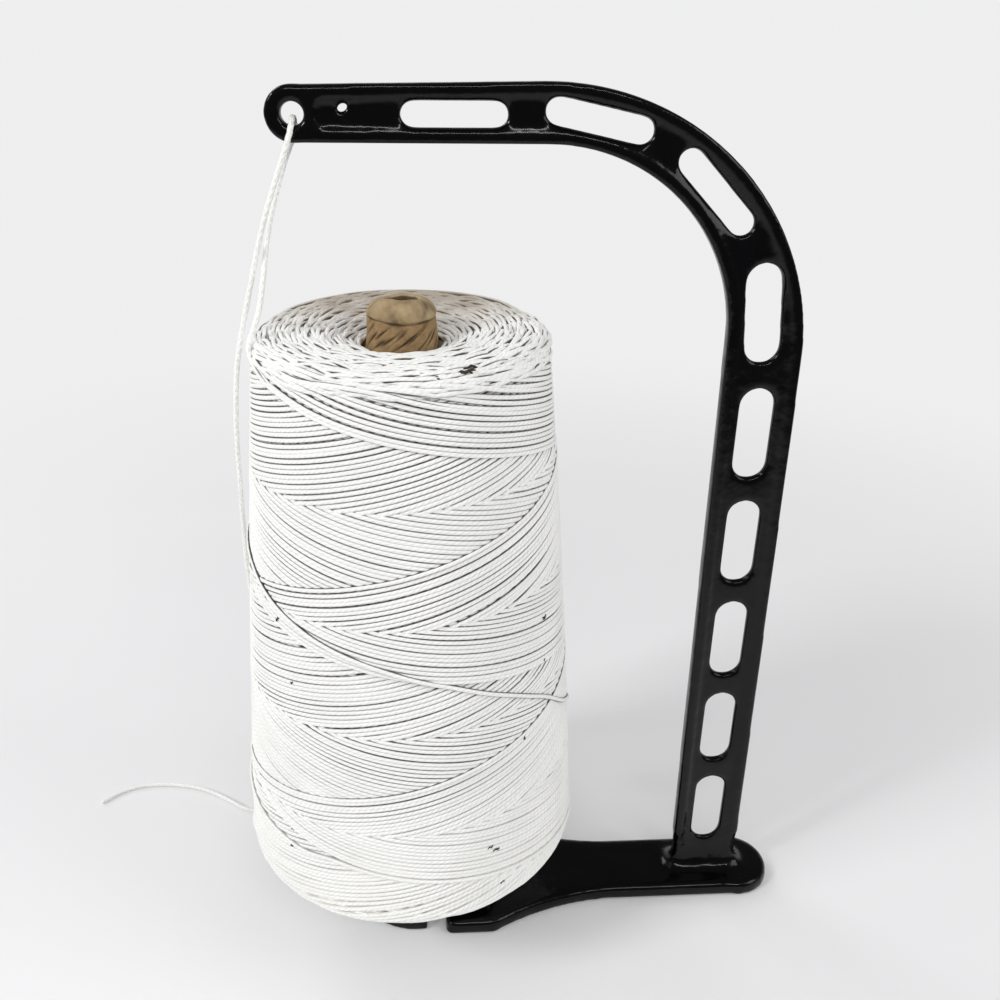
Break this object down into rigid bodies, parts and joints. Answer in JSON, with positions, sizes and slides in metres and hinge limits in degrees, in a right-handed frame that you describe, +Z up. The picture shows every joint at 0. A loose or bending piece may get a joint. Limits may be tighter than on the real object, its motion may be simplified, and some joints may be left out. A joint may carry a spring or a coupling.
{
  "type": "string holder",
  "caption": "Counter-top string holder: pierced black iron stand with overhead eye arm, turning seat on a spindle, and a cone of cotton twine threaded through the eye.",
  "frame": {"origin": "on the counter under the spindle's axis, on the flat underside", "axes": "+Z up along the spindle, +X from the spindle to the post, +Y to the back so that the front faces -Y"},
  "size_m": [0.298, 0.1268, 0.3163],
  "materials": {
    "black_enamel": "thick glossy black enamel over a sand-cast surface",
    "steel": "turned and lightly oiled",
    "kraft_paper": "brown wound paperboard, matt",
    "cotton_twine": "undyed plied cotton, matt"
  },
  "bodies": {
    "stand": {"stand_casting": "black_enamel", "spindle": "steel", "thrust_washer": "steel", "free_string": "cotton_twine"},
    "cone": {"cone_seat": "black_enamel", "paper_cone": "kraft_paper", "twine_core": "cotton_twine", "outer_turns": "cotton_twine"}
  },
  "joints": [
    {"name": "cone_turn", "type": "hinge", "parent": "stand", "child": "cone", "pos_m": [0, 0, 0.04], "axis": [0, 0, 1], "continuous": true}
  ]
}
